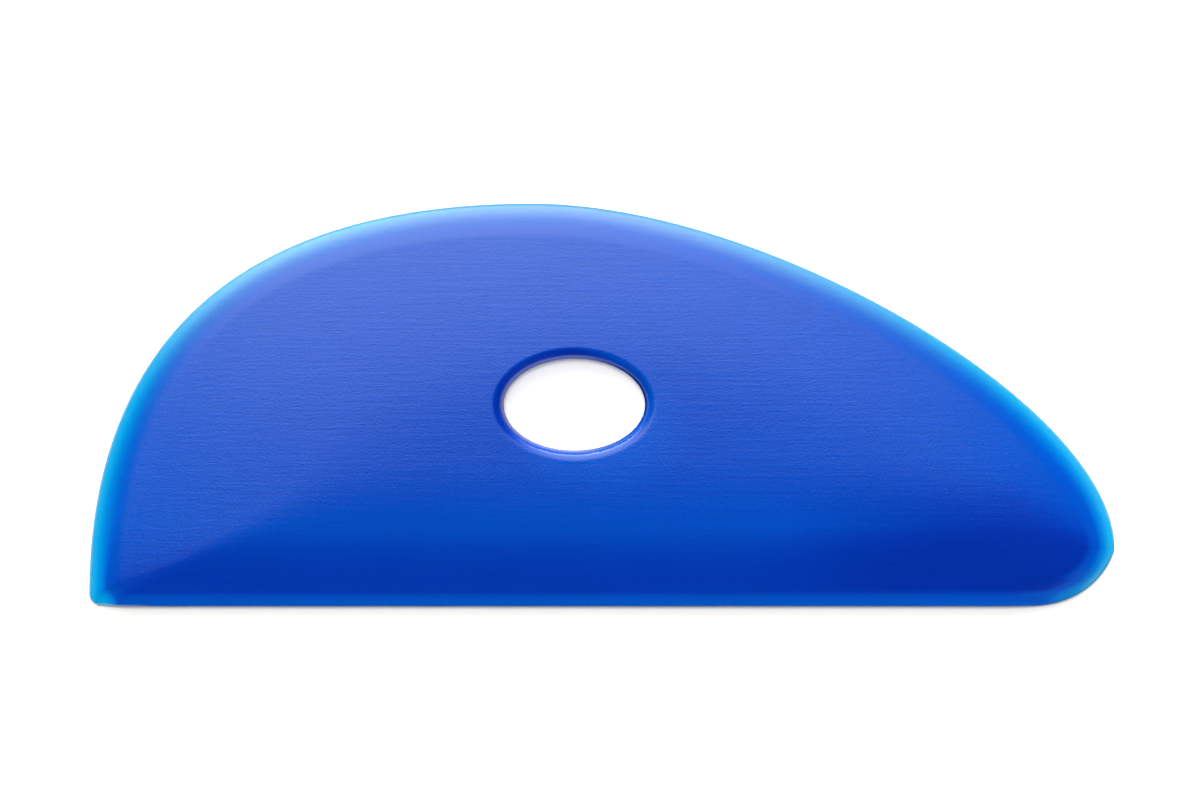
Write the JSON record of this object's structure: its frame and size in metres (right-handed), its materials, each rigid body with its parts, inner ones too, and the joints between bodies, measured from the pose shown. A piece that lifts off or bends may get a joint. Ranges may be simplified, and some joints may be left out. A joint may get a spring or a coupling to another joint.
{
  "type": "pottery rib",
  "caption": "Flexible half-moon pottery rib: straight base edge, long curved edge thinned to a soft lip, crowned front face, flat back and an oval finger hole.",
  "frame": {"origin": "centre of the bounding box in X and Y, on the flat back face", "axes": "+X along the length towards the nose, +Y in the plane of the blade from the straight edge towards the curved edge, +Z out of the crowned front face"},
  "size_m": [0.127, 0.0498, 0.0047],
  "materials": {
    "polyurethane": "satin, slightly translucent where it is thin"
  },
  "bodies": {
    "root": {"rib_blade": "polyurethane"}
  },
  "joints": []
}
